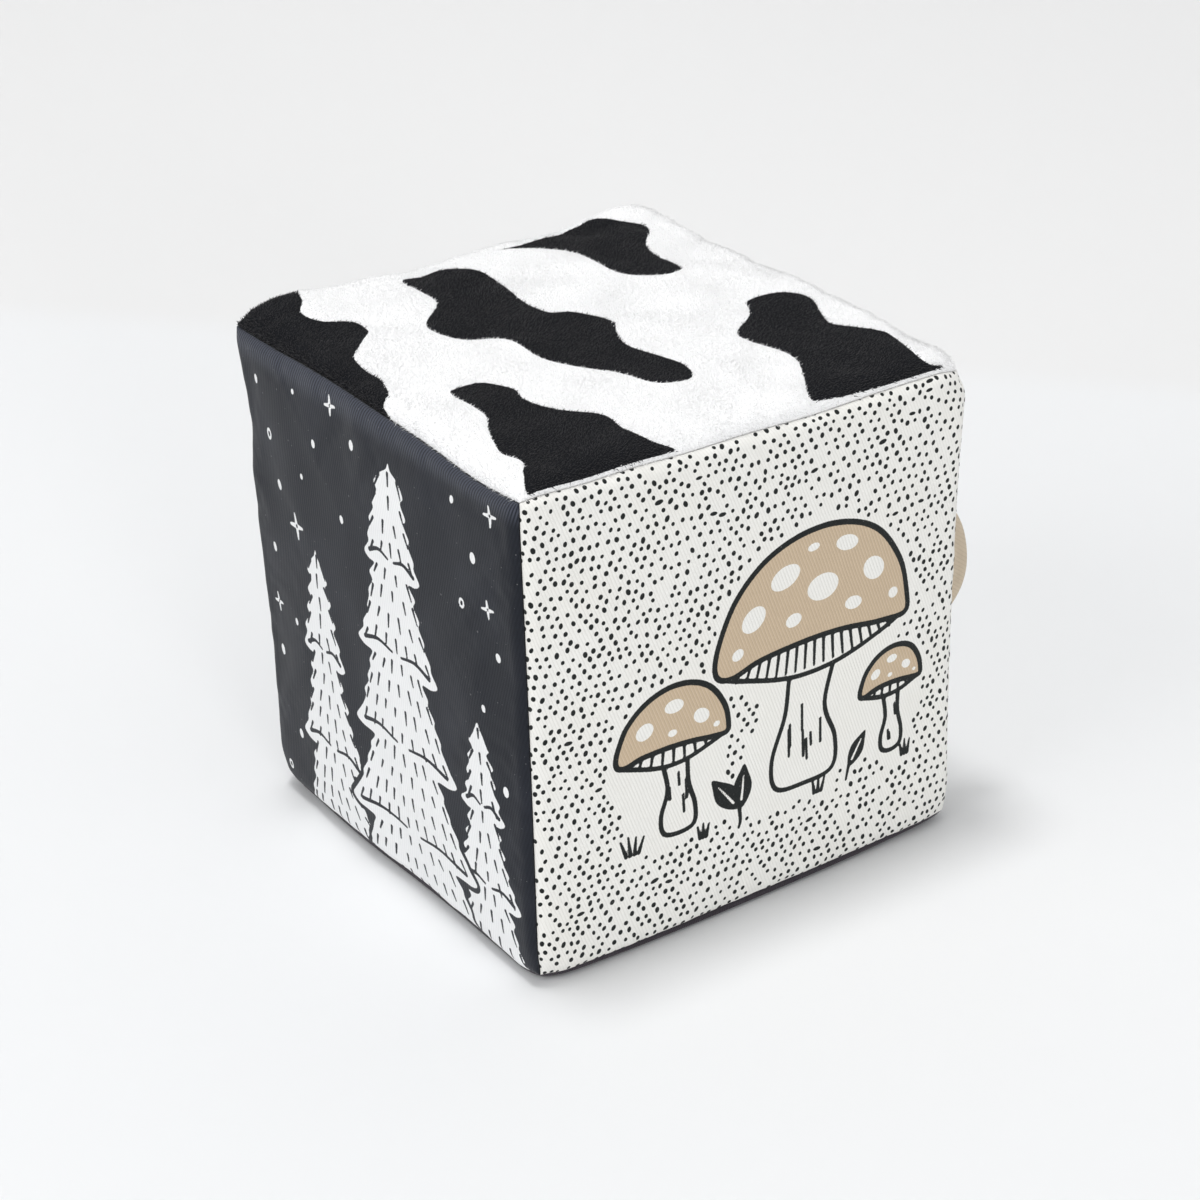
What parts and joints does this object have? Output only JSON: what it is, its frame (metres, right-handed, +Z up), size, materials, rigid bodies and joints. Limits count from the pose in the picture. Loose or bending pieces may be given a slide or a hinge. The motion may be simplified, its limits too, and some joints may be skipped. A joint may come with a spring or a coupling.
{
  "type": "soft fabric block",
  "caption": "Soft cube-shaped baby block with a plush top, printed twill sides, a foam core, a hidden rattle and a small fabric tab.",
  "frame": {"origin": "middle of the flat on the underside that the block rests on", "axes": "+Z up through the plush top, -Y out of the dotted front, -X out of the black printed side, +X out of the side with the tab"},
  "size_m": [0.1438, 0.1302, 0.1298],
  "materials": {
    "plush": "short white plush pile with black printed patches",
    "dotted_twill": "matt off-white cotton twill printed with small near-black dots",
    "black_twill": "matt charcoal-black cotton twill with white print",
    "charcoal_cloth": "matt dark purple-grey woven cloth",
    "tan_cloth": "matt tan brushed cloth",
    "thread": "spun polyester overlock thread",
    "foam": "open-cell polyurethane foam",
    "rattle_plastic": "semi-gloss white moulded plastic",
    "ball_plastic": "smooth moulded plastic"
  },
  "bodies": {
    "block": {"plush_top_panel": "plush", "dotted_front_panel": "dotted_twill", "black_left_panel": "black_twill", "dotted_right_panel": "dotted_twill", "black_back_panel": "black_twill", "charcoal_bottom_panel": "charcoal_cloth", "top_front_seam_thread": "thread", "top_back_seam_thread": "thread", "top_left_seam_thread": "thread", "top_right_seam_thread": "thread", "bottom_front_seam_thread": "thread", "bottom_back_seam_thread": "thread", "bottom_left_seam_thread": "thread", "bottom_right_seam_thread": "thread", "front_left_seam_thread": "thread", "front_right_seam_thread": "thread", "back_left_seam_thread": "thread", "back_right_seam_thread": "thread", "lower_foam_half": "foam", "upper_foam_half": "foam", "rattle_tube": "rattle_plastic", "rattle_cap": "rattle_plastic"},
    "ball": {"rattle_ball": "ball_plastic"},
    "tab": {"tan_tab": "tan_cloth"}
  },
  "joints": [
    {"name": "ball_travel", "type": "slide", "parent": "block", "child": "ball", "axis": [0, 0, 1], "range_m": [0, 0.0263]},
    {"name": "tab_bend", "type": "hinge", "parent": "block", "child": "tab", "pos_m": [0.06524, -0.047, 0.06321], "axis": [0, 0, 1], "range_deg": [-70, 70], "stiffness_Nm_per_rad": 0.0005}
  ]
}
